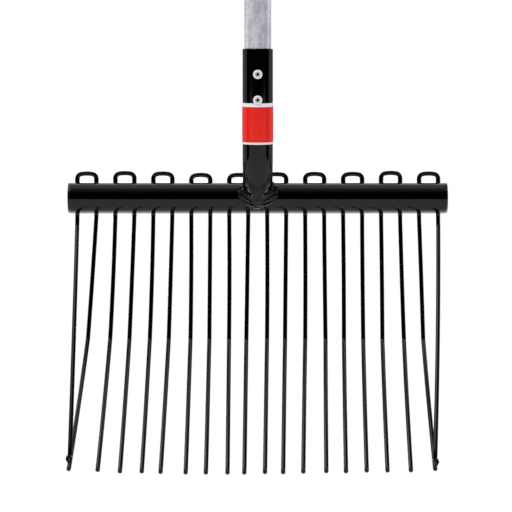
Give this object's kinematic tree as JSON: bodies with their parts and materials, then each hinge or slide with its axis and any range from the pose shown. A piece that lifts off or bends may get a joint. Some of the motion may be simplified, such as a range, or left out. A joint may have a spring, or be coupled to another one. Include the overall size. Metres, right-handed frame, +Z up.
{
  "type": "shavings fork",
  "caption": "Bedding fork head of bent round wire tines through a steel cross tube, on a riveted aluminium tube handle with an end grip.",
  "frame": {"origin": "on the cross tube's axis at mid length, where two pegs of a rack would carry the head", "axes": "+X along the cross tube to the right as seen from the load side, +Z up the handle, -Y towards the load side that the tine tips point to"},
  "size_m": [0.4, 0.1928, 1.4761],
  "materials": {
    "black_coat": "gloss black powder coat on steel",
    "black_plug": "semi-gloss black plastic",
    "shaft_aluminium": "drawn aluminium tube, lengthwise streaks",
    "rivet_aluminium": "bright aluminium",
    "label": "printed film, red with a white edge above and below",
    "grip_rubber": "matte black moulded grip"
  },
  "bodies": {
    "root": {"cross_tube": "black_coat", "end_plug_left": "black_plug", "end_plug_right": "black_plug", "tine_pair_01": "black_coat", "tine_pair_02": "black_coat", "tine_pair_03": "black_coat", "tine_pair_04": "black_coat", "tine_pair_05": "black_coat", "tine_pair_06": "black_coat", "tine_pair_07": "black_coat", "tine_pair_08": "black_coat", "tine_pair_09": "black_coat", "tine_pair_10": "black_coat", "tip_weld_left": "black_coat", "tip_weld_right": "black_coat", "socket": "black_coat", "socket_weld": "black_coat", "handle_shaft": "shaft_aluminium", "rivet_upper": "rivet_aluminium", "rivet_lower": "rivet_aluminium", "label_band": "label", "end_grip": "grip_rubber"}
  },
  "joints": []
}
